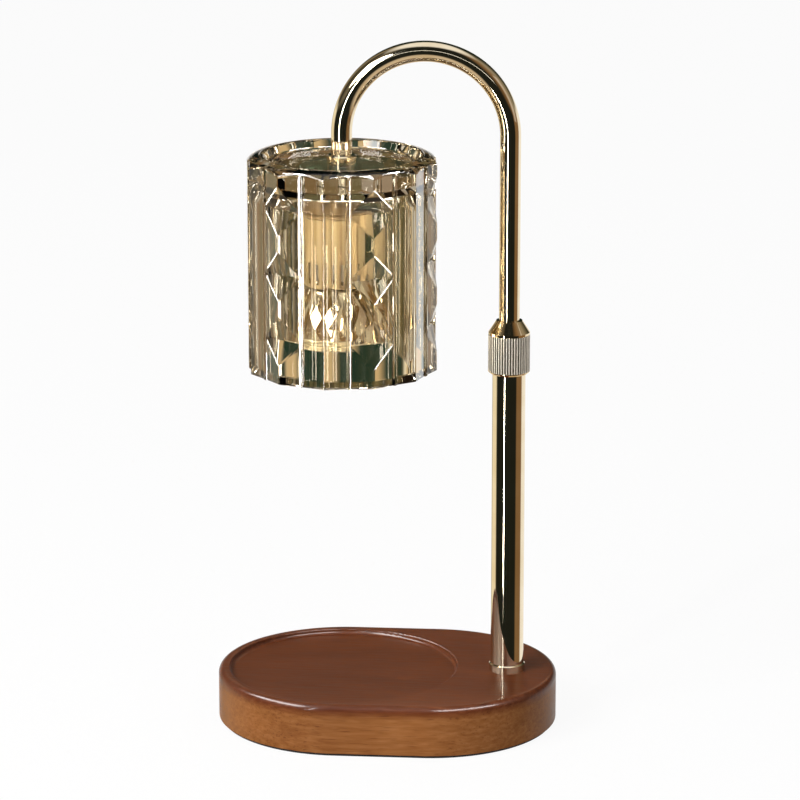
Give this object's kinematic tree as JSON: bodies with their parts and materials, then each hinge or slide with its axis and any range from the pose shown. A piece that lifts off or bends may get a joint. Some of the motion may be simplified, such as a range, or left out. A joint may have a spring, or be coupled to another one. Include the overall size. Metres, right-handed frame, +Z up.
{
  "type": "candle warmer lamp",
  "caption": "Table lamp that warms a candle: rounded wooden base, gold pole with locking collar, arched sliding arm and cut-glass shade over a reflector bulb.",
  "frame": {"origin": "centre of the base's footprint, on the surface that it stands on", "axes": "+X towards the pole, -Y towards the front, +Z up"},
  "size_m": [0.165, 0.123, 0.335],
  "materials": {
    "wood": "gloss varnish",
    "pad_rubber": "matte",
    "dark_plastic": "matte",
    "steel": "zinc plated",
    "gold_metal": "polished champagne gold plate",
    "brass_plain": "turned",
    "pale_gold": "satin gold",
    "white_ceramic": "glazed steatite ceramic",
    "amber_glass": "polished pressed glass",
    "clear_glass": "clear",
    "bulb_mirror": "faceted reflector"
  },
  "bodies": {
    "base": {"wood_base": "wood", "base_pad": "pad_rubber", "tube_plug": "steel", "pole_stud": "steel", "stud_washer": "steel", "stud_nut": "steel", "cord_gland": "dark_plastic", "cord_clamp": "dark_plastic", "clamp_screws": "steel", "pole_tube": "gold_metal", "foot_ring": "gold_metal"},
    "collet": {"collet": "brass_plain"},
    "collar": {"locking_collar": "gold_metal"},
    "arm": {"arm_tube": "gold_metal", "arm_stop": "brass_plain", "stem_flange": "gold_metal", "glass_shade": "amber_glass", "inner_gasket": "pad_rubber", "shade_nipple": "steel", "cup_nut": "steel", "holder_nut": "steel", "socket_cup": "pale_gold", "holder_plate": "steel", "holder_screws": "steel", "lampholder": "white_ceramic", "bulb_base": "white_ceramic", "bulb_pins": "steel", "bulb_reflector": "bulb_mirror", "bulb_lens": "clear_glass", "bulb_capsule": "clear_glass"}
  },
  "joints": [
    {"name": "collar_turn", "type": "hinge", "parent": "base", "child": "collar", "pos_m": [0.0585, 0, 0.188], "axis": [0, 0, 1], "range_deg": [0, 270]},
    {"name": "arm_swivel", "type": "hinge", "parent": "base", "child": "collet", "pos_m": [0.0585, 0, 0.186], "axis": [0, 0, 1], "range_deg": [-90, 90]},
    {"name": "arm_height", "type": "slide", "parent": "collet", "child": "arm", "axis": [0, 0, 1], "range_m": [-0.06, 0.025]}
  ]
}
